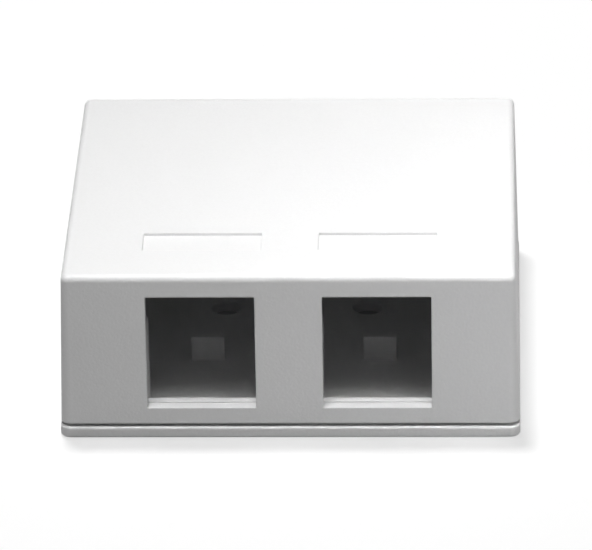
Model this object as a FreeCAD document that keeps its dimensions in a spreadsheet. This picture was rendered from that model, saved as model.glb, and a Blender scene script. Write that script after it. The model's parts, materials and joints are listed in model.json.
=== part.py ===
import FreeCAD, Part
import math
import os
import Sketcher

# Surface mount jack box with two keystone ports: a base plate that is screwed or stuck
# down, and a drafted cover that snaps over it. Millimetres. +Z points away from the
# mounting surface, the jack face looks along -Y, and the origin is at the centre of the
# underside. Heights inside base and cover are measured from the underside of the plate.

SIZES = {
    # Envelope
    "baseWidth": 62.95,       # base plate, left to right
    "baseDepth": 60.0,        # base plate, front to back
    "plateGauge": 1.6,
    "cornerRound": 1.5,       # upright corners of base and cover
    "plateRound": 0.35,       # round the upper edge of the plate
    "footChamfer": 0.15,      # round the underside of the plate
    # Cover shell
    "ledgeWidth": 0.1,        # how far the plate stands out past the cover's foot
    "partingGap": 0.5,        # shadow gap between plate and cover
    "wallGauge": 1.65,
    "roofGauge": 1.5,
    "draftAngle": 1.5,        # degrees, on all four walls
    "topRound": 0.95,
    "coreRound": 0.6,         # inside upright corners
    # Keystone ports
    "portPitch": 24.0,
    "portWidth": 14.85,
    "portHeight": 16.6,
    "portSill": 4.45,         # height of the window sill
    "lintelHeight": 3.15,     # window head to the top of the cover
    # Label recesses in the roof
    "labelWidth": 16.2,
    "labelDepth": 5.4,
    "labelSink": 0.42,
    "labelSetback": 8.8,      # front of the plate to the front of the recess
    # Rim of the base, inside the cover's foot
    "rimGauge": 1.25,
    "rimGap": 0.2,            # clearance between the cover's walls and what stands inside
    "rimRound": 1.0,
    # Jack cradle: two cheeks a port, a stub wall between the ports, a rest behind each
    "cheekGauge": 1.3,
    "cheekDepth": 7.0,
    "cheekHeight": 13.7,      # above the plate
    "cheekSlope": 2.5,        # cut off the upper rear corner
    "cheekClearance": 0.1,    # cheek to window edge, each side
    "restWidth": 4.6,
    "restGauge": 1.2,
    "restHeight": 3.55,
    "restSetback": 20.4,      # front of the plate to the front of the rest
    "gussetDepth": 2.2,
    "gussetGauge": 1.0,
    "keeperGauge": 1.25,      # cover's rib above each port, behind the front wall
    # Screw holes
    "screwHole": 4.4,
    "screwPitch": 20.1,
    "screwSetback": 36.8,     # front of the plate to the hole centres
    # Snap hooks, one on each side
    "hookLength": 10.0,
    "hookSetback": 30.0,
    "hookHeight": 3.9,        # above the plate
    "hookReach": 0.6,
    "hookRamp": 1.1,
    "hookLand": 0.9,          # upright stretch below the ramp
    "hookRelief": 1.2,        # slots in the rim that let the hook flex
    "catchGap": 0.2,          # clearance round the barb in its pocket
    # Seat ribs, which stand the cover on the rim
    "seatGauge": 1.2,
    "seatReach": 2.6,
    "seatInset": 3.6,         # front and rear edges of the plate to the ribs
    # Cable-tie bridges
    "bridgeWidth": 7.5,
    "bridgeDepth": 2.6,
    "bridgeHeight": 3.6,
    "bridgeWall": 1.3,
    "bridgeInset": 10.0,      # rear of the plate to the centre of the bridge
    # Cable knock-outs, scored inside the rear and side walls
    "knockoutWidth": 12.0,
    "knockoutHeight": 7.5,
    "scoreWidth": 0.7,
    "scoreWeb": 0.55,
    "sideInset": 13.0,        # rear of the plate to the centre of the side ones
    "gateGap": 0.4,           # rim's gap past each side of a knock-out
    # Adhesive pad and its liner
    "padWidth": 48.0,
    "padDepth": 40.0,
    "padRound": 2.0,
    "foamGauge": 0.8,
    "linerGauge": 0.15,
    "padProud": 0.1,          # how far the liner stands below the plate
    "padGap": 0.4,            # clearance round the pad in its recess
    "landDiameter": 9.0,      # full-thickness land round each screw hole
}

# Heights and places that follow from the sizes above
coverFoot = "(dims.plateGauge + dims.partingGap)"
portHead = "(dims.portSill + dims.portHeight)"
coverTop = f"({portHead} + dims.lintelHeight)"
roofUnder = f"({coverTop} - dims.roofGauge)"
rimTop = "dims.portSill"
cheekTop = "(dims.plateGauge + dims.cheekHeight)"
hookTop = "(dims.plateGauge + dims.hookHeight)"
hookFoot = f"({hookTop} - dims.hookRamp - dims.hookLand)"
frontEdge = "(dims.baseDepth / 2)"
outerX = "(dims.baseWidth / 2 - dims.ledgeWidth)"
outerY = "(dims.baseDepth / 2 - dims.ledgeWidth)"
coreX = f"({outerX} - dims.wallGauge)"
coreY = f"({outerY} - dims.wallGauge)"
portX = "(dims.portPitch / 2)"
cheekInset = "(dims.portWidth / 2 + dims.cheekClearance)"
hookY = f"(dims.hookSetback - {frontEdge})"
sideY = f"({frontEdge} - dims.sideInset)"


def leanAt(height):
    """How far the cover's walls have come inward at a height, with the clearance."""
    return f"(({height} - {coverFoot}) * tan(dims.draftAngle) + dims.rimGap)"


rimX = f"({coreX} - {leanAt(rimTop)})"
rimY = f"({coreY} - {leanAt(rimTop)})"
cheekY = f"({coreY} - {leanAt(cheekTop)})"
hookX = f"({coreX} - {leanAt(hookTop)})"
barbX = f"({hookX} + dims.hookReach)"

doc = FreeCAD.newDocument("jackBox")


def makeSheet():
    sheet = doc.addObject("Spreadsheet::Sheet", "dims")
    for row, (name, value) in enumerate(SIZES.items(), 1):
        sheet.set(f"A{row}", name)
        sheet.set(f"B{row}", str(value))
        sheet.setAlias(f"B{row}", name)
    doc.recompute()


# Sketches

def originPlane(body, role):
    return next(item for item in body.Origin.OriginFeatures if item.Role == role)


def newSketch(body, name, role, offset="0"):
    """A sketch on one of the body's origin planes, moved along the plane's normal."""
    sketch = body.newObject("Sketcher::SketchObject", name)
    sketch.AttachmentSupport = (originPlane(body, role), [""])
    sketch.MapMode = "FlatFace"
    sketch.setExpression("AttachmentOffset.Base.z", offset)
    return sketch


def pin(sketch, kind, geometry, vertex, expression):
    """Holds a vertex at a distance from the sketch's origin along X or Y."""
    index = sketch.addConstraint(Sketcher.Constraint(kind, -1, 1, geometry, vertex, 1.0))
    sketch.setExpression(f"Constraints[{index}]", expression)


def addOutline(sketch, corners):
    """A closed outline of straight lines through corners given as pairs of expressions."""
    first = sketch.GeometryCount
    count = len(corners)
    ring = [
        FreeCAD.Vector(math.cos(2 * math.pi * i / count), math.sin(2 * math.pi * i / count), 0)
        for i in range(count)
    ]
    for i in range(count):
        sketch.addGeometry(Part.LineSegment(ring[i], ring[(i + 1) % count]), False)
    for i in range(count):
        following = first + (i + 1) % count
        sketch.addConstraint(Sketcher.Constraint("Coincident", first + i, 2, following, 1))
    for i, (x, y) in enumerate(corners):
        pin(sketch, "DistanceX", first + i, 1, x)
        pin(sketch, "DistanceY", first + i, 1, y)


def addRectangle(sketch, left, right, low, high):
    addOutline(sketch, [(left, low), (right, low), (right, high), (left, high)])


def addCentred(sketch, halfX, halfY):
    addRectangle(sketch, f"-{halfX}", halfX, f"-{halfY}", halfY)


def addCircle(sketch, x, y, diameter):
    circle = Part.Circle(FreeCAD.Vector(1, 1, 0), FreeCAD.Vector(0, 0, 1), 1)
    index = sketch.addGeometry(circle, False)
    pin(sketch, "DistanceX", index, 3, x)
    pin(sketch, "DistanceY", index, 3, y)
    size = sketch.addConstraint(Sketcher.Constraint("Diameter", index, 2.0))
    sketch.setExpression(f"Constraints[{size}]", diameter)


# Features

def extrude(body, kind, name, sketch, length, reverse=False, both=False):
    feature = body.newObject(kind, name)
    feature.Profile = sketch
    feature.Reversed = reverse
    feature.Midplane = both
    feature.setExpression("Length", length)
    doc.recompute()
    return feature


def pad(body, name, sketch, length, **options):
    return extrude(body, "PartDesign::Pad", name, sketch, length, **options)


def pocket(body, name, sketch, length, **options):
    return extrude(body, "PartDesign::Pocket", name, sketch, length, **options)


def mirror(body, name, *features):
    """Repeats features on the other side of the box's middle."""
    feature = body.newObject("PartDesign::Mirrored", name)
    feature.Originals = list(features)
    feature.MirrorPlane = (originPlane(body, "YZ_Plane"), [""])
    body.Tip = feature
    doc.recompute()
    return feature


def facesWhere(shape, test):
    return [f"Face{i}" for i, face in enumerate(shape.Faces, 1) if test(face.BoundBox)]


def edgesWhere(shape, test):
    return [f"Edge{i}" for i, edge in enumerate(shape.Edges, 1) if test(edge.BoundBox)]


def blend(body, kind, name, base, test, sizeName, value):
    """A fillet or chamfer on the edges of base whose bounding boxes pass a test."""
    feature = body.newObject(kind, name)
    feature.Base = (base, edgesWhere(base.Shape, test))
    feature.setExpression(sizeName, value)
    doc.recompute()
    return feature


def fillet(body, name, base, test, radius):
    return blend(body, "PartDesign::Fillet", name, base, test, "Radius", radius)


def draft(body, name, base, leaning, neutral, hollow=False):
    """Leans the faces of a block or a hollow inward above a neutral face."""
    feature = body.newObject("PartDesign::Draft", name)
    feature.Base = (base, facesWhere(base.Shape, leaning))
    feature.NeutralPlane = (base, facesWhere(base.Shape, neutral))
    feature.Reversed = hollow
    feature.setExpression("Angle", "dims.draftAngle")
    doc.recompute()
    return feature


def isUpright(box):
    """Tells a straight upright edge by the box round it."""
    return box.ZLength > 1e-3 and max(box.XLength, box.YLength) < 1e-3


def near(a, b):
    return abs(a - b) < 1e-3


# Base plate

def makeBase():
    body = doc.addObject("PartDesign::Body", "base")
    outline = newSketch(body, "plateOutline", "XY_Plane")
    addCentred(outline, "(dims.baseWidth / 2)", frontEdge)
    plate = pad(body, "plate", outline, "dims.plateGauge")
    corners = fillet(body, "plateCorners", plate, isUpright, "dims.cornerRound")
    plateZ = corners.Shape.BoundBox.ZMax
    rounded = fillet(body, "plateEdge", corners, lambda box: near(box.ZMin, plateZ),
                     "dims.plateRound")
    blend(body, "PartDesign::Chamfer", "plateFoot", rounded,
          lambda box: near(box.ZMax, 0), "Size", "dims.footChamfer")
    addRim(body)
    addHooks(body)
    addCradle(body)
    addBridges(body)
    addScrewHoles(body)
    addPadRecess(body)
    body.setExpression("Placement.Base.z", "dims.padProud")
    return body


def addRim(body):
    """A low wall that locates the cover, open where cables and hooks pass."""
    height = f"{rimTop} - dims.plateGauge"
    outside = newSketch(body, "rimOutside", "XY_Plane", "dims.plateGauge")
    addCentred(outside, rimX, rimY)
    block = pad(body, "rimBlock", outside, height)
    rimZ = block.Shape.BoundBox.ZMax
    fillet(body, "rimCorners", block,
           lambda box: isUpright(box) and near(box.ZMax, rimZ), "dims.rimRound")
    inside = newSketch(body, "rimInside", "XY_Plane", "dims.plateGauge")
    addCentred(inside, f"({rimX} - dims.rimGauge)", f"({rimY} - dims.rimGauge)")
    pocket(body, "rimHollow", inside, height, reverse=True)

    halfGate = "(dims.knockoutWidth / 2 + dims.gateGap)"
    rearGate = newSketch(body, "rearGate", "XY_Plane", "dims.plateGauge")
    addRectangle(rearGate, f"-{halfGate}", halfGate, f"{rimY} - dims.rimGauge", rimY)
    pocket(body, "rearGateCut", rearGate, height, reverse=True)

    halfNotch = "(dims.hookLength / 2 + dims.hookRelief)"
    openings = newSketch(body, "sideOpenings", "XY_Plane", "dims.plateGauge")
    for middle, half in ((sideY, halfGate), (hookY, halfNotch)):
        addRectangle(openings, f"{rimX} - dims.rimGauge", rimX,
                     f"{middle} - {half}", f"{middle} + {half}")
    cut = pocket(body, "sideOpeningsCut", openings, height, reverse=True)
    mirror(body, "sideOpeningsPair", cut)


def addHooks(body):
    """A flexing tongue with an outward barb in the middle of each side."""
    profile = newSketch(body, "hookProfile", "XZ_Plane", f"-{hookY}")
    inner = f"({hookX} - dims.rimGauge)"
    addOutline(profile, [
        (inner, "dims.plateGauge"),
        (hookX, "dims.plateGauge"),
        (hookX, hookFoot),
        (barbX, hookFoot),
        (barbX, f"{hookTop} - dims.hookRamp"),
        (hookX, hookTop),
        (inner, hookTop),
    ])
    hook = pad(body, "hook", profile, "dims.hookLength", both=True)
    mirror(body, "hookPair", hook)


def addCradle(body):
    """Cheeks that guide a jack from both sides, and a rest behind it."""
    sides = {
        "inner": f"{portX} - {cheekInset} - dims.cheekGauge",
        "outer": f"{portX} + {cheekInset}",
    }
    cheeks = []
    for side, place in sides.items():
        profile = newSketch(body, f"{side}CheekProfile", "YZ_Plane", place)
        rear = f"(dims.cheekDepth - {cheekY})"
        addOutline(profile, [
            (f"-{cheekY}", "dims.plateGauge"),
            (rear, "dims.plateGauge"),
            (rear, f"{cheekTop} - dims.cheekSlope"),
            (f"{rear} - dims.cheekSlope", cheekTop),
            (f"-{cheekY}", cheekTop),
        ])
        cheeks.append(pad(body, f"{side}Cheek", profile, "dims.cheekGauge"))

    restFront = f"(dims.restSetback - {frontEdge})"
    restPlan = newSketch(body, "restPlan", "XY_Plane", "dims.plateGauge")
    addRectangle(restPlan, f"{portX} - dims.restWidth / 2", f"{portX} + dims.restWidth / 2",
                 restFront, f"{restFront} + dims.restGauge")
    rest = pad(body, "rest", restPlan, "dims.restHeight")

    gussetProfile = newSketch(body, "gussetProfile", "YZ_Plane", portX)
    restRear = f"({restFront} + dims.restGauge)"
    restTop = "(dims.plateGauge + dims.restHeight)"
    addOutline(gussetProfile, [
        (restRear, "dims.plateGauge"),
        (f"{restRear} + dims.gussetDepth", "dims.plateGauge"),
        (restRear, restTop),
    ])
    gusset = pad(body, "gusset", gussetProfile, "dims.gussetGauge", both=True)
    mirror(body, "cradlePair", *cheeks, rest, gusset)

    stubPlan = newSketch(body, "stubPlan", "XY_Plane", "dims.plateGauge")
    halfStub = f"({portX} - {cheekInset})"
    addRectangle(stubPlan, f"-{halfStub}", halfStub, f"-{cheekY}",
                 f"dims.rimGauge - {cheekY}")
    pad(body, "stub", stubPlan, "dims.cheekHeight")


def addBridges(body):
    """Small arches behind the ports that hold the cables with a tie."""
    middle = f"({frontEdge} - dims.bridgeInset)"
    profile = newSketch(body, "bridgeProfile", "XZ_Plane", f"-{middle}")
    half = "dims.bridgeWidth / 2"
    inside = "(dims.bridgeWidth / 2 - dims.bridgeWall)"
    top = "(dims.plateGauge + dims.bridgeHeight)"
    under = f"{top} - dims.bridgeWall"
    addOutline(profile, [
        (f"{portX} - {half}", "dims.plateGauge"),
        (f"{portX} - {inside}", "dims.plateGauge"),
        (f"{portX} - {inside}", under),
        (f"{portX} + {inside}", under),
        (f"{portX} + {inside}", "dims.plateGauge"),
        (f"{portX} + {half}", "dims.plateGauge"),
        (f"{portX} + {half}", top),
        (f"{portX} - {half}", top),
    ])
    bridge = pad(body, "bridge", profile, "dims.bridgeDepth", both=True)
    mirror(body, "bridgePair", bridge)


def addScrewHoles(body):
    sketch = newSketch(body, "screwHole", "XY_Plane")
    addCircle(sketch, "dims.screwPitch / 2", f"dims.screwSetback - {frontEdge}",
              "dims.screwHole")
    hole = pocket(body, "screwHoleCut", sketch, "dims.plateGauge", reverse=True)
    mirror(body, "screwHolePair", hole)


def addPadRecess(body):
    sketch = newSketch(body, "padRecess", "XY_Plane")
    addCentred(sketch, "(dims.padWidth / 2 + dims.padGap)", "(dims.padDepth / 2 + dims.padGap)")
    for side in ("-", ""):
        addCircle(sketch, f"{side}dims.screwPitch / 2", f"dims.screwSetback - {frontEdge}",
                  "dims.landDiameter")
    pocket(body, "padRecessCut", sketch,
           "dims.foamGauge + dims.linerGauge - dims.padProud", reverse=True)


# Cover

def makeCover():
    body = doc.addObject("PartDesign::Body", "cover")
    addShell(body)
    addKeepers(body)
    addSeats(body)
    addWindows(body)
    addLabelRecesses(body)
    addCatches(body)
    addKnockouts(body)
    body.setExpression("Placement.Base.z", "dims.padProud")
    return body


def addShell(body):
    """The drafted, rounded skin and its hollow, which leans the same way."""
    outline = newSketch(body, "skinOutline", "XY_Plane", coverFoot)
    addCentred(outline, outerX, outerY)
    block = pad(body, "skinBlock", outline, f"{coverTop} - {coverFoot}")
    corners = fillet(body, "skinCorners", block, isUpright, "dims.cornerRound")
    footZ = corners.Shape.BoundBox.ZMin
    topZ = corners.Shape.BoundBox.ZMax
    leaning = draft(body, "skinDraft", corners, lambda box: box.ZLength > 1e-3,
                    lambda box: near(box.ZMax, footZ))
    fillet(body, "topEdge", leaning, lambda box: near(box.ZMin, topZ), "dims.topRound")

    inside = newSketch(body, "coreOutline", "XY_Plane", coverFoot)
    addCentred(inside, coreX, coreY)
    hollow = pocket(body, "core", inside, f"{roofUnder} - {coverFoot}", reverse=True)
    ceiling = footZ + hollow.Length.Value

    def isCoreSide(box):
        return near(box.ZMin, footZ) and near(box.ZMax, ceiling)

    drafted = draft(body, "coreDraft", hollow, isCoreSide,
                    lambda box: near(box.ZMax, footZ), hollow=True)
    lean = 2 * hollow.Length.Value * math.tan(math.radians(drafted.Angle.Value))
    fillet(body, "coreCorners", drafted,
           lambda box: isCoreSide(box) and max(box.XLength, box.YLength) < lean, "dims.coreRound")


def addKeepers(body):
    """A rib above each port, level with its head, that a jack's latch catches behind."""
    plan = newSketch(body, "keeperPlan", "XY_Plane", portHead)
    addRectangle(plan, f"{portX} - dims.portWidth / 2", f"{portX} + dims.portWidth / 2",
                 f"-({coreY} + dims.wallGauge / 4)", f"dims.keeperGauge - {cheekY}")
    keeper = pad(body, "keeper", plan, f"{roofUnder} + dims.roofGauge / 2 - {portHead}")
    mirror(body, "keeperPair", keeper)


def addSeats(body):
    """Ribs down the side walls that stand the cover on the rim."""
    plan = newSketch(body, "seatPlan", "XY_Plane", rimTop)
    for side in ("-", ""):
        middle = f"{side}({frontEdge} - dims.seatInset)"
        addRectangle(plan, f"{coreX} - dims.seatReach", f"{coreX} + dims.wallGauge / 4",
                     f"{middle} - dims.seatGauge / 2", f"{middle} + dims.seatGauge / 2")
    seat = pad(body, "seat", plan, f"{roofUnder} + dims.roofGauge / 2 - {rimTop}")
    mirror(body, "seatPair", seat)


def addWindows(body):
    face = newSketch(body, "windowFace", "XZ_Plane", frontEdge)
    addRectangle(face, f"{portX} - dims.portWidth / 2", f"{portX} + dims.portWidth / 2",
                 "dims.portSill", portHead)
    through = f"dims.ledgeWidth + dims.wallGauge + {leanAt(portHead)}"
    window = pocket(body, "window", face, through)
    mirror(body, "windowPair", window)


def addLabelRecesses(body):
    plan = newSketch(body, "labelPlan", "XY_Plane", coverTop)
    front = f"(dims.labelSetback - {frontEdge})"
    addRectangle(plan, f"{portX} - dims.labelWidth / 2", f"{portX} + dims.labelWidth / 2",
                 front, f"{front} + dims.labelDepth")
    recess = pocket(body, "labelRecess", plan, "dims.labelSink")
    mirror(body, "labelRecessPair", recess)


def addCatches(body):
    """Pockets inside the side walls for the barbs of the base's hooks."""
    face = newSketch(body, "catchFace", "YZ_Plane", f"{barbX} + dims.catchGap")
    half = "(dims.hookLength / 2 + dims.catchGap)"
    addRectangle(face, f"{hookY} - {half}", f"{hookY} + {half}",
                 f"{hookFoot} - dims.catchGap", f"{hookTop} + dims.catchGap")
    catch = pocket(body, "catch", face, "dims.wallGauge")
    mirror(body, "catchPair", catch)


def scoreOutline(sketch, middle):
    """The three-sided groove round a knock-out, open at the cover's foot."""
    half = "dims.knockoutWidth / 2"
    inside = "(dims.knockoutWidth / 2 - dims.scoreWidth)"
    low = f"{coverFoot} - dims.partingGap"
    top = f"{coverFoot} + dims.knockoutHeight"
    addOutline(sketch, [
        (f"{middle} - {half}", low),
        (f"{middle} - {inside}", low),
        (f"{middle} - {inside}", f"{top} - dims.scoreWidth"),
        (f"{middle} + {inside}", f"{top} - dims.scoreWidth"),
        (f"{middle} + {inside}", low),
        (f"{middle} + {half}", low),
        (f"{middle} + {half}", top),
        (f"{middle} - {half}", top),
    ])


def addKnockouts(body):
    """Panels that break out of the rear and side walls, scored on the inside."""
    depth = "(dims.knockoutHeight * tan(dims.draftAngle) + dims.scoreWeb)"
    rear = newSketch(body, "rearScoreFace", "XZ_Plane", f"{depth} - {outerY}")
    scoreOutline(rear, "0")
    pocket(body, "rearScore", rear, "dims.wallGauge", reverse=True)

    side = newSketch(body, "sideScoreFace", "YZ_Plane", f"{outerX} - {depth}")
    scoreOutline(side, sideY)
    score = pocket(body, "sideScore", side, "dims.wallGauge")
    mirror(body, "sideScorePair", score)


# Adhesive pad and its liner

def makeLayer(name, gauge, height):
    """A die-cut sheet with a hole round each screw land."""
    body = doc.addObject("PartDesign::Body", name)
    outline = newSketch(body, f"{name}Outline", "XY_Plane")
    addCentred(outline, "(dims.padWidth / 2)", "(dims.padDepth / 2)")
    sheet = pad(body, f"{name}Sheet", outline, gauge)
    fillet(body, f"{name}Corners", sheet, isUpright, "dims.padRound")
    circle = newSketch(body, f"{name}Circle", "XY_Plane")
    addCircle(circle, "dims.screwPitch / 2", f"dims.screwSetback - {frontEdge}",
              "dims.landDiameter + 2 * dims.padGap")
    hole = pocket(body, f"{name}Hole", circle, gauge, reverse=True)
    mirror(body, f"{name}HolePair", hole)
    body.setExpression("Placement.Base.z", height)
    return body


# The whole box

def checkDocument():
    for item in doc.Objects:
        if "Invalid" in item.State or "Error" in item.State:
            raise RuntimeError(f"{item.Name} failed: {item.State}")
        if item.TypeId.startswith("PartDesign::") and getattr(item, "BaseFeature", None):
            change = item.Shape.Volume - item.BaseFeature.Shape.Volume
            if abs(change) < 1e-6:
                raise RuntimeError(f"{item.Name} changed nothing")
            if item.isDerivedFrom("PartDesign::Pocket") and change > 0:
                raise RuntimeError(f"{item.Name} added material")


def writeParts(parts):
    os.makedirs("parts", exist_ok=True)
    for part in parts:
        shape = part.Shape
        if shape.isNull() or not shape.isValid() or len(shape.Solids) != 1:
            raise RuntimeError(f"{part.Label} isn't one valid solid")
        shape.exportStep(f"parts/{part.Label}.step")
        print(f"{part.Label}: {shape.Volume:.1f} mm3, z {shape.BoundBox.ZMin:.2f} "
              f"to {shape.BoundBox.ZMax:.2f}")


makeSheet()
parts = [
    makeBase(),
    makeCover(),
    makeLayer("foam_pad", "dims.foamGauge", "dims.linerGauge"),
    makeLayer("release_liner", "dims.linerGauge", "0"),
]
doc.recompute()
checkDocument()
writeParts(parts)
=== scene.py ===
import bmesh
import bpy
import json
import math
from mathutils import Matrix, Vector


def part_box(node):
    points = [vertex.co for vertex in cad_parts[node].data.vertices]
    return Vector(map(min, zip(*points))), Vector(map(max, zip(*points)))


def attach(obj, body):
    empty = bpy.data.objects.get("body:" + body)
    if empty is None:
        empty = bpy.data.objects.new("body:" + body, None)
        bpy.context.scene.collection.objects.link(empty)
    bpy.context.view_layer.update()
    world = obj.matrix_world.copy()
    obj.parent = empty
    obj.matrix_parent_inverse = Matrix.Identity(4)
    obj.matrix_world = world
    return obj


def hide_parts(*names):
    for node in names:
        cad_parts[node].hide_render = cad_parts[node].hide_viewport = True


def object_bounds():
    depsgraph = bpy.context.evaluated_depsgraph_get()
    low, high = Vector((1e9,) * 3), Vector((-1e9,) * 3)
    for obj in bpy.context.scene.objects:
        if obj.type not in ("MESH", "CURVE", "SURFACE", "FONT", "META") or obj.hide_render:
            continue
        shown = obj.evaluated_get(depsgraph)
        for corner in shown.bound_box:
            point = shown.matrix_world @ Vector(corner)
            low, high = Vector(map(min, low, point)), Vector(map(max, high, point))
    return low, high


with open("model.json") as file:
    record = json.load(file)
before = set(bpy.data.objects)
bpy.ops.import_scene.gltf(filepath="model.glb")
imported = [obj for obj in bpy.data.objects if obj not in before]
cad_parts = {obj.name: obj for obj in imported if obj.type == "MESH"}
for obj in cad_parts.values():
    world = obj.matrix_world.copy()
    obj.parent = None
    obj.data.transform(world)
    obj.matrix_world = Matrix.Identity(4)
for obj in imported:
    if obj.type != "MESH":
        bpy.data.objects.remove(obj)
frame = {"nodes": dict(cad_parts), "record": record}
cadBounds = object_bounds()
mm = 0.001
scene = bpy.context.scene
scene.view_settings.view_transform = "Standard"
print("frame loaded:", ", ".join(sorted(frame["nodes"])))

camera = {
    "azimuth": 2.059,      # degrees round from straight in front, towards +X
    "elevation": 26.0,
    "roll": -1.033,
    "distance": 890.4,     # mm from the aim point
    "aim": (0.0, 0.0, 12.1),
    "aimRight": 0.14,      # mm off the aim point, along the view's right and up
    "aimUp": -1.731,
    "lens": 386.2,         # mm on a 36 mm sensor
    "sensor": 36,
    "nearest": 0.05,
    "furthest": 10,
}


def makeCamera(values):
    azimuth, elevation, roll = (math.radians(values[k]) for k in ("azimuth", "elevation", "roll"))
    forward = Vector((-math.sin(azimuth) * math.cos(elevation),
                      math.cos(azimuth) * math.cos(elevation), -math.sin(elevation)))
    level = Vector((math.cos(azimuth), math.sin(azimuth), 0))
    upward = level.cross(forward)
    right = level * math.cos(roll) + upward * math.sin(roll)
    up = upward * math.cos(roll) - level * math.sin(roll)
    aim = Vector(values["aim"]) + right * values["aimRight"] + up * values["aimUp"]
    data = bpy.data.cameras.new("boxCamera")
    data.lens = values["lens"]
    data.sensor_width = values["sensor"]
    data.clip_start = values["nearest"]
    data.clip_end = values["furthest"]
    made = bpy.data.objects.new("boxCamera", data)
    turn = Matrix((right, up, -forward)).transposed().to_4x4()
    made.matrix_world = Matrix.Translation((aim - forward * values["distance"]) * mm) @ turn
    scene.collection.objects.link(made)
    scene.camera = made


makeCamera(camera)
print("camera placed")


def addNode(tree, kind, settings=None, **sockets):
    # sockets are named without spaces, such as FromMin
    node = tree.nodes.new(kind)
    for name, value in (settings or {}).items():
        setattr(node, name, value)
    for name, value in sockets.items():
        matching = [s for s in node.inputs if s.name.replace(" ", "") == name and s.enabled]
        matching[0].default_value = value
    return node


def addMath(tree, operation, first, second=None, third=None, clamp=False):
    node = tree.nodes.new("ShaderNodeMath")
    node.operation = operation
    node.use_clamp = clamp
    for socket, value in zip(node.inputs, (first, second, third)):
        if value is None:
            continue
        if isinstance(value, (int, float)):
            socket.default_value = value
        else:
            tree.links.new(value, socket)
    return node.outputs[0]


def addScaled(tree, colour, factor):
    node = tree.nodes.new("ShaderNodeVectorMath")
    node.operation = "SCALE"
    tree.links.new(colour, node.inputs[0])
    tree.links.new(factor, node.inputs["Scale"])
    return node.outputs[0]


def addMix(tree, factor, first, second):
    # the two colours are sockets or plain tuples
    node = tree.nodes.new("ShaderNodeMix")
    node.data_type = "RGBA"
    shown = [s for s in node.inputs if s.enabled]
    for socket, value in zip(shown, (factor, first, second)):
        if isinstance(value, tuple):
            socket.default_value = value
        else:
            tree.links.new(value, socket)
    return [s for s in node.outputs if s.enabled][0]


def grey(level):
    return (level, level, level, 1)


def newGroup(name, inputs, outputs):
    group = bpy.data.node_groups.new(name, "ShaderNodeTree")
    for label, kind, value in inputs:
        socket = group.interface.new_socket(label, in_out="INPUT", socket_type="NodeSocket" + kind)
        socket.default_value = value
    for label, kind in outputs:
        group.interface.new_socket(label, in_out="OUTPUT", socket_type="NodeSocket" + kind)
    return group, group.nodes.new("NodeGroupInput"), group.nodes.new("NodeGroupOutput")


sparkErosion = {
    "pitScale": 2600.0, "pitContrast": 0.6, "pitSmoothness": 0.7, "pitRandomness": 1.0,
    "mottleDetail": 3.0, "mottleRoughness": 0.65,
}


def makeSparkGrain(values):
    # the fine pitted skin that a spark-eroded mould leaves, as a height and a shade
    group, entry, leave = newGroup("sparkGrain", [
        ("Pit Scale", "Float", values["pitScale"]),
        ("Pit Contrast", "Float", values["pitContrast"]),
    ], [("Height", "Float"), ("Shade", "Float")])
    link = group.links.new
    place = addNode(group, "ShaderNodeTexCoord")
    pits = addNode(group, "ShaderNodeTexVoronoi", {"feature": "SMOOTH_F1"},
                   Smoothness=values["pitSmoothness"], Randomness=values["pitRandomness"])
    mottle = addNode(group, "ShaderNodeTexNoise", Detail=values["mottleDetail"],
                     Roughness=values["mottleRoughness"])
    for texture in (pits, mottle):
        link(place.outputs["Object"], texture.inputs["Vector"])
        link(entry.outputs["Pit Scale"], texture.inputs["Scale"])
    both = addMath(group, "MULTIPLY_ADD", pits.outputs["Distance"], entry.outputs["Pit Contrast"],
                   mottle.outputs["Fac"])
    link(both, leave.inputs["Height"])
    link(mottle.outputs["Fac"], leave.inputs["Shade"])
    return group


shrinkage = {
    "waveScale": 45.0, "waveDetail": 1.0, "waveRoughness": 0.4,
    "smearScale": 130.0, "smearDetail": 4.0, "smearRoughness": 0.55, "smearDistortion": 0.6,
}


def makeSinkWave(values):
    # slow hollows where thick plastic shrinks behind the face, and how unevenly it shines
    group, entry, leave = newGroup("sinkWave", [
        ("Wave Scale", "Float", values["waveScale"]),
        ("Smear Scale", "Float", values["smearScale"]),
    ], [("Height", "Float"), ("Smear", "Float")])
    link = group.links.new
    place = addNode(group, "ShaderNodeTexCoord")
    wave = addNode(group, "ShaderNodeTexNoise", Detail=values["waveDetail"],
                   Roughness=values["waveRoughness"])
    smear = addNode(group, "ShaderNodeTexNoise", Detail=values["smearDetail"],
                    Roughness=values["smearRoughness"], Distortion=values["smearDistortion"])
    link(place.outputs["Object"], wave.inputs["Vector"])
    link(place.outputs["Object"], smear.inputs["Vector"])
    link(entry.outputs["Wave Scale"], wave.inputs["Scale"])
    link(entry.outputs["Smear Scale"], smear.inputs["Scale"])
    link(wave.outputs["Fac"], leave.inputs["Height"])
    link(smear.outputs["Fac"], leave.inputs["Smear"])
    return group


mouldedEdge = {"radius": 0.0002, "gain": 3.0, "samples": 3}


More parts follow.
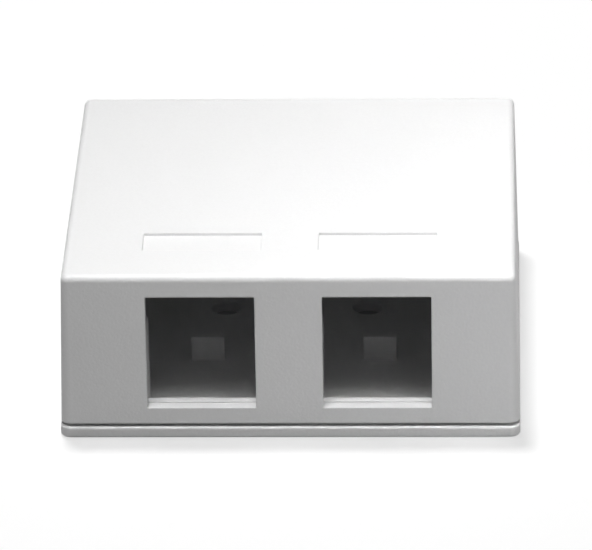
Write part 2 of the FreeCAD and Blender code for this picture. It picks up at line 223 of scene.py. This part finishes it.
def makeEdgeCatch(values):
    # the small radius on every moulded edge: a rounded normal, and a mask along the edge where the colour
    # is lightened as a painted highlight
    group, entry, leave = newGroup("edgeCatch", [
        ("Radius", "Float", values["radius"]),
        ("Gain", "Float", values["gain"]),
    ], [("Normal", "Vector"), ("Mask", "Float")])
    link = group.links.new
    rounded = addNode(group, "ShaderNodeBevel", {"samples": values["samples"]})
    surface = addNode(group, "ShaderNodeNewGeometry")
    link(entry.outputs["Radius"], rounded.inputs["Radius"])
    along = addNode(group, "ShaderNodeVectorMath", {"operation": "DOT_PRODUCT"})
    link(rounded.outputs["Normal"], along.inputs[0])
    link(surface.outputs["Normal"], along.inputs[1])
    turned = addMath(group, "SUBTRACT", 1.0, along.outputs["Value"])
    link(addMath(group, "MULTIPLY", turned, entry.outputs["Gain"], clamp=True), leave.inputs["Mask"])
    link(rounded.outputs["Normal"], leave.inputs["Normal"])
    return group


unpacking = {
    "rubScale": 90.0, "rubTurn": (0.4, 0.3, 0.6), "rubStretch": (1.0, 9.0, 9.0),
    "rubDetail": 5.0, "rubRoughness": 0.6, "rubDistortion": 0.3, "rubFrom": 0.56, "rubTo": 0.72,
    "dustScale": 900.0, "dustAmount": 0.3,
    "dustDetail": 2.0, "dustRoughness": 0.5, "dustFrom": 0.60, "dustTo": 0.78,
}


def makeHandling(values):
    # what unpacking leaves on a new box: faint rubs, and a little dust on faces that look up
    group, entry, leave = newGroup("handling", [
        ("Rub Scale", "Float", values["rubScale"]),
        ("Dust Scale", "Float", values["dustScale"]),
        ("Dust Amount", "Float", values["dustAmount"]),
    ], [("Rub", "Float"), ("Dust", "Float")])
    link = group.links.new
    place = addNode(group, "ShaderNodeTexCoord")
    slant = addNode(group, "ShaderNodeMapping", Rotation=values["rubTurn"], Scale=values["rubStretch"])
    rubs = addNode(group, "ShaderNodeTexNoise", Detail=values["rubDetail"],
                   Roughness=values["rubRoughness"], Distortion=values["rubDistortion"])
    specks = addNode(group, "ShaderNodeTexNoise", Detail=values["dustDetail"],
                     Roughness=values["dustRoughness"])
    link(place.outputs["Object"], slant.inputs["Vector"])
    link(slant.outputs["Vector"], rubs.inputs["Vector"])
    link(place.outputs["Object"], specks.inputs["Vector"])
    link(entry.outputs["Rub Scale"], rubs.inputs["Scale"])
    link(entry.outputs["Dust Scale"], specks.inputs["Scale"])
    worn = addNode(group, "ShaderNodeMapRange", FromMin=values["rubFrom"], FromMax=values["rubTo"])
    lying = addNode(group, "ShaderNodeMapRange", FromMin=values["dustFrom"], FromMax=values["dustTo"])
    link(rubs.outputs["Fac"], worn.inputs["Value"])
    link(specks.outputs["Fac"], lying.inputs["Value"])
    surface = addNode(group, "ShaderNodeNewGeometry")
    facing = addNode(group, "ShaderNodeSeparateXYZ")
    link(surface.outputs["Normal"], facing.inputs["Vector"])
    upward = addMath(group, "MAXIMUM", facing.outputs["Z"], 0.0)
    settled = addMath(group, "MULTIPLY", lying.outputs["Result"], upward)
    link(worn.outputs["Result"], leave.inputs["Rub"])
    link(addMath(group, "MULTIPLY", settled, entry.outputs["Dust Amount"]), leave.inputs["Dust"])
    return group


sparkGrain = makeSparkGrain(sparkErosion)
sinkWave = makeSinkWave(shrinkage)
edgeCatch = makeEdgeCatch(mouldedEdge)
handling = makeHandling(unpacking)
print("shared effects built")


def addGroup(tree, group, **sockets):
    node = tree.nodes.new("ShaderNodeGroup")
    node.node_tree = group
    for name, value in sockets.items():
        [s for s in node.inputs if s.name.replace(" ", "") == name][0].default_value = value
    return node


def newFinish(name, specular):
    material = bpy.data.materials.new(name)
    material.use_nodes = True
    shader = material.node_tree.nodes["Principled BSDF"]
    shader.inputs["Specular IOR Level"].default_value = specular
    return material, material.node_tree, shader


def unevenRoughness(tree, smear, values):
    # the smear swings it evenly to both sides of the finish's own roughness
    spread = values["roughnessSpread"]
    return addMath(tree, "MULTIPLY_ADD", smear, spread, values["roughness"] - spread / 2)


# the edge colour, lighter than the plastic, is a painted highlight along the edges
coverPlastic = {
    "colour": (0.86, 0.86, 0.86, 1), "edgeColour": (0.95, 0.95, 0.95, 1),
    "dustColour": (0.74, 0.74, 0.73, 1), "dustScale": 900.0, "dustAmount": 0.10,
    "roughness": 0.44, "roughnessSpread": 0.18, "rubScale": 90.0, "rubPolish": 0.10, "specular": 0.36,
    "pitScale": 2600.0, "pitDepth": 0.00003, "pitShade": 0.07,
    "waveScale": 48.0, "waveDepth": 0.00025, "smearScale": 140.0,
    "edgeRadius": 0.00022, "edgeGain": 2.2,
}
basePlastic = {
    "colour": (0.88, 0.88, 0.88, 1), "edgeColour": (0.95, 0.95, 0.95, 1),
    "dustColour": (0.72, 0.72, 0.71, 1), "dustScale": 1100.0, "dustAmount": 0.08,
    "roughness": 0.48, "roughnessSpread": 0.18, "rubScale": 120.0, "rubPolish": 0.06, "specular": 0.36,
    "pitScale": 2300.0, "pitDepth": 0.00003, "pitShade": 0.07,
    "waveScale": 60.0, "waveDepth": 0.0002, "smearScale": 170.0,
    "edgeRadius": 0.00018, "edgeGain": 2.0,
}


def makePlastic(name, values):
    material, tree, shader = newFinish(name, values["specular"])
    link = tree.links.new
    grain = addGroup(tree, sparkGrain, PitScale=values["pitScale"])
    sink = addGroup(tree, sinkWave, WaveScale=values["waveScale"], SmearScale=values["smearScale"])
    edge = addGroup(tree, edgeCatch, Radius=values["edgeRadius"], Gain=values["edgeGain"])
    # painted highlight: the colour is lightened along every edge by the edge mask
    edgeHighlightTint = addMix(tree, edge.outputs["Mask"], values["colour"], values["edgeColour"])
    dim = addMath(tree, "MULTIPLY_ADD", grain.outputs["Shade"], -values["pitShade"],
                  1 + values["pitShade"] / 2)
    marks = addGroup(tree, handling, RubScale=values["rubScale"], DustScale=values["dustScale"],
                     DustAmount=values["dustAmount"])
    dusted = addMix(tree, marks.outputs["Dust"], addScaled(tree, edgeHighlightTint, dim), values["dustColour"])
    link(dusted, shader.inputs["Base Color"])
    smeared = unevenRoughness(tree, sink.outputs["Smear"], values)
    link(addMath(tree, "MULTIPLY_ADD", marks.outputs["Rub"], -values["rubPolish"], smeared),
         shader.inputs["Roughness"])
    slow = addNode(tree, "ShaderNodeBump", Strength=1.0, Distance=values["waveDepth"])
    fine = addNode(tree, "ShaderNodeBump", Strength=1.0, Distance=values["pitDepth"])
    link(sink.outputs["Height"], slow.inputs["Height"])
    link(edge.outputs["Normal"], slow.inputs["Normal"])
    link(grain.outputs["Height"], fine.inputs["Height"])
    link(slow.outputs["Normal"], fine.inputs["Normal"])
    link(fine.outputs["Normal"], shader.inputs["Normal"])
    return material


padFoam = {
    "colour": (0.80, 0.80, 0.77, 1), "wallColour": (0.56, 0.56, 0.53, 1),
    "cellScale": 1900.0, "cellRandomness": 1.0, "cellDepth": 0.0001, "wallPower": 2.0,
    "roughness": 0.85, "roughnessSpread": 0.2, "specular": 0.2, "waveScale": 160.0,
}


def makeFoam(name, values):
    # closed cells: pale domes, darker towards the hollows between them as painted shade
    material, tree, shader = newFinish(name, values["specular"])
    link = tree.links.new
    place = addNode(tree, "ShaderNodeTexCoord")
    cells = addNode(tree, "ShaderNodeTexVoronoi", Scale=values["cellScale"],
                    Randomness=values["cellRandomness"])
    link(place.outputs["Object"], cells.inputs["Vector"])
    sink = addGroup(tree, sinkWave, WaveScale=values["waveScale"])
    # painted shade: the colour darkens towards the low hollows between the domes
    hollowShade = addMath(tree, "POWER", cells.outputs["Distance"], values["wallPower"], clamp=True)
    link(addMix(tree, hollowShade, values["colour"], values["wallColour"]), shader.inputs["Base Color"])
    link(unevenRoughness(tree, sink.outputs["Smear"], values), shader.inputs["Roughness"])
    domes = addNode(tree, "ShaderNodeBump", {"invert": True}, Strength=1.0, Distance=values["cellDepth"])
    link(cells.outputs["Distance"], domes.inputs["Height"])
    link(domes.outputs["Normal"], shader.inputs["Normal"])
    return material


linerPaper = {
    "colour": (0.83, 0.80, 0.72, 1), "fibreColour": (0.70, 0.66, 0.56, 1),
    # the dark slit colour is painted shade inside the narrow cut
    "slitColour": (0.42, 0.39, 0.33, 1),
    "fibreScale": 420.0, "fibreStretch": (1.0, 0.25, 1.0), "fibreDetail": 5.0, "fibreRoughness": 0.7,
    "roughness": 0.30, "roughnessSpread": 0.10, "specular": 0.5, "depth": 0.00002,
    "slitSwing": 0.0025, "slitTurns": 420.0, "slitWidth": 0.00012,    # the wavy cut that starts the peel
}


def makeLiner(name, values):
    material, tree, shader = newFinish(name, values["specular"])
    link = tree.links.new
    place = addNode(tree, "ShaderNodeTexCoord")
    stretch = addNode(tree, "ShaderNodeMapping", Scale=values["fibreStretch"])
    fibres = addNode(tree, "ShaderNodeTexNoise", Scale=values["fibreScale"],
                     Detail=values["fibreDetail"], Roughness=values["fibreRoughness"])
    link(place.outputs["Object"], stretch.inputs["Vector"])
    link(stretch.outputs["Vector"], fibres.inputs["Vector"])
    sink = addGroup(tree, sinkWave)
    split = addNode(tree, "ShaderNodeSeparateXYZ")
    link(place.outputs["Object"], split.inputs["Vector"])
    swing = addMath(tree, "SINE", addMath(tree, "MULTIPLY", split.outputs["Y"], values["slitTurns"]))
    offset = addMath(tree, "MULTIPLY_ADD", swing, -values["slitSwing"], split.outputs["X"])
    slit = addMath(tree, "LESS_THAN", addMath(tree, "ABSOLUTE", offset), values["slitWidth"])
    paper = addMix(tree, fibres.outputs["Fac"], values["colour"], values["fibreColour"])
    # painted shade: the slit is drawn dark where the cut's groove lies
    link(addMix(tree, slit, paper, values["slitColour"]), shader.inputs["Base Color"])
    link(unevenRoughness(tree, sink.outputs["Smear"], values), shader.inputs["Roughness"])
    relief = addNode(tree, "ShaderNodeBump", Strength=1.0, Distance=values["depth"])
    link(addMath(tree, "SUBTRACT", fibres.outputs["Fac"], slit), relief.inputs["Height"])
    link(relief.outputs["Normal"], shader.inputs["Normal"])
    return material


def dressNode(node, finish):
    part = frame["nodes"][node]
    part.data.materials.clear()
    part.data.materials.append(finish)


dressNode("cover", makePlastic("coverPlastic", coverPlastic))
dressNode("base", makePlastic("basePlastic", basePlastic))
dressNode("release_liner", makeLiner("linerPaper", linerPaper))
print("cover, base and liner finished")

foamPad = {
    "cornerRadius": 2.0,      # mm
    "cornerSteps": 8,
    "holeRadius": 4.9,
    "holeSteps": 48,
    "pullIn": 0.14,           # how far the cut edge draws in between the two skins
    "edgeRings": 7,
    "fill": 0.95,
}


def roundedOutline(halfX, halfY, radius, steps):
    points = []
    for index, (signX, signY) in enumerate(((1, 1), (-1, 1), (-1, -1), (1, -1))):
        for step in range(steps + 1):
            angle = math.radians(90 * (index + step / steps))
            points.append((signX * (halfX - radius) + radius * math.cos(angle),
                           signY * (halfY - radius) + radius * math.sin(angle)))
    return points


def circleOutline(centreX, centreY, radius, steps):
    turns = [2 * math.pi * step / steps for step in range(steps)]
    return [(centreX + radius * math.cos(turn), centreY + radius * math.sin(turn)) for turn in turns]


def buildPad(values):
    # a die-cut pad: flat skins, held flat by the recess and the liner, and edges that draw in
    low, high = (Vector(corner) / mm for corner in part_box("foam_pad"))
    middle = (low + high) / 2
    half = (high - low) / 2
    holes = [m for m in frame["record"]["mounts"] if m["name"] == "screw_holes"][0]
    holeY = holes["pos_m"][1] / mm
    holeX = holes["dims"]["spacing_x_mm"] / 2
    mesh = bmesh.new()
    rings = []
    for ring in range(values["edgeRings"]):
        share = ring / (values["edgeRings"] - 1)
        drawn = values["pullIn"] * math.sin(math.pi * share)
        height = low.z + (high.z - low.z) * share
        outer = roundedOutline(half.x - drawn, half.y - drawn, values["cornerRadius"],
                               values["cornerSteps"])
        outlines = [[(x + middle.x, y + middle.y) for x, y in outer]]
        outlines += [circleOutline(side * holeX, holeY, values["holeRadius"] + drawn, values["holeSteps"])
                     for side in (-1, 1)]
        rings.append([[mesh.verts.new((x * mm, y * mm, height * mm)) for x, y in outline]
                      for outline in outlines])
    for below, above in zip(rings, rings[1:]):
        for lower, upper in zip(below, above):
            for here in range(len(lower)):
                after = (here + 1) % len(lower)
                mesh.faces.new((lower[here], lower[after], upper[after], upper[here]))
    for skin in (rings[0], rings[-1]):
        edges = []
        for loop in skin:
            edges += [mesh.edges.get((loop[i - 1], loop[i])) for i in range(len(loop))]
        bmesh.ops.triangle_fill(mesh, use_beauty=True, edges=edges)
    bmesh.ops.recalc_face_normals(mesh, faces=mesh.faces)
    data = bpy.data.meshes.new("foamPad")
    mesh.to_mesh(data)
    mesh.free()
    for face in data.polygons:
        face.use_smooth = len(face.vertices) == 4
    pad = bpy.data.objects.new("foamPad", data)
    scene.collection.objects.link(pad)
    data.materials.append(makeFoam("padFoam", padFoam))
    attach(pad, "base")
    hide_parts("foam_pad")


buildPad(foamPad)
print("foam pad built")

floor = {
    "size": 3.0,          # m
    "drop": 0.00002,      # just under the liner
    "colour": 0.61, "seenColour": 1.00,
    "seenGlow": 0.608,    # lifts the floor to white where the camera sees it
    "glowStrength": 1.0, "roughness": 1.0, "specular": 0.0,
    "underBox": 0.002,    # m in from the outline, where the glow stops so that the screw holes stay dark
}


def makeFloor(values):
    half = values["size"] / 2
    corners = [(-half, -half, 0), (half, -half, 0), (half, half, 0), (-half, half, 0)]
    mesh = bpy.data.meshes.new("floor")
    mesh.from_pydata(corners, [], [range(4)])
    made = bpy.data.objects.new("floor", mesh)
    made.location.z = -values["drop"]
    scene.collection.objects.link(made)
    material, tree, shader = newFinish("paperFloor", values["specular"])
    rays = addNode(tree, "ShaderNodeLightPath")
    seen = addMath(tree, "MAXIMUM", rays.outputs["Is Camera Ray"], rays.outputs["Is Glossy Ray"])
    seen = addMath(tree, "MAXIMUM", seen, rays.outputs["Is Transmission Ray"])
    place = addNode(tree, "ShaderNodeTexCoord")
    split = addNode(tree, "ShaderNodeSeparateXYZ")
    tree.links.new(place.outputs["Object"], split.inputs["Vector"])
    outside = []
    for axis in (0, 1):
        reach = max(abs(corner[axis]) for corner in cadBounds) - values["underBox"]
        away = addMath(tree, "ABSOLUTE", split.outputs[axis])
        outside.append(addMath(tree, "GREATER_THAN", away, reach))
    seen = addMath(tree, "MULTIPLY", seen, addMath(tree, "MAXIMUM", *outside))
    tone = addMix(tree, seen, grey(values["colour"]), grey(values["seenColour"]))
    glow = addMix(tree, seen, grey(0), grey(values["seenGlow"]))
    tree.links.new(tone, shader.inputs["Base Color"])
    tree.links.new(glow, shader.inputs["Emission Color"])
    shader.inputs["Emission Strength"].default_value = values["glowStrength"]
    shader.inputs["Roughness"].default_value = values["roughness"]
    mesh.materials.append(material)


# places and aims in metres; the lamps that light the box alone leave the floor one clean shadow
lamps = {
    "overhead": {"at": (-0.02, -0.165, 0.58), "aim": (0.11, -0.05, 0.0), "size": 0.26, "spread": 70,
                 "power": 0.425, "boxAlone": True},
    "frontBank": {"at": (0.0, -0.26, 0.52), "aim": (0.12, -0.05, 0.0), "size": 0.24, "spread": 70,
                  "power": 0.106, "boxAlone": True},
    "fillRight": {"at": (0.20, -0.35, 0.64), "aim": (0.08, -0.03, 0.01), "size": 0.12, "spread": 16,
                  "power": 0.0175, "boxAlone": True},
    "sideRight": {"at": (0.12, -0.055, 0.035), "aim": (0.03, -0.03, 0.012), "size": 0.03, "spread": 180,
                  "power": 0.0125, "boxAlone": True},
    "rearLeft": {"at": (-0.065, 0.155, 0.98), "aim": (0, 0, 0), "size": 0.12, "spread": 180,
                 "power": 3.3, "boxAlone": False},
}


def makeLamp(name, values, receivers):
    data = bpy.data.lights.new(name, "AREA")
    data.size = values["size"]
    data.energy = values["power"]
    data.spread = math.radians(values["spread"])
    made = bpy.data.objects.new(name, data)
    made.location = values["at"]
    heading = Vector(values["aim"]) - Vector(values["at"])
    made.rotation_mode = "QUATERNION"
    made.rotation_quaternion = heading.to_track_quat("-Z", "Y")
    scene.collection.objects.link(made)
    if values["boxAlone"]:
        made.light_linking.receiver_collection = receivers


boxPieces = bpy.data.collections.new("boxPieces")
for part in list(frame["nodes"].values()) + [bpy.data.objects["foamPad"]]:
    boxPieces.objects.link(part)
makeFloor(floor)
for name, values in lamps.items():
    makeLamp(name, values, boxPieces)

studio = {"colour": (1, 1, 1, 1), "strength": 0.054}
world = bpy.data.worlds.new("studio")
world.use_nodes = True
scene.world = world
background = world.node_tree.nodes["Background"]
background.inputs["Color"].default_value = studio["colour"]
background.inputs["Strength"].default_value = studio["strength"]
print("floor, lamps and studio light placed")
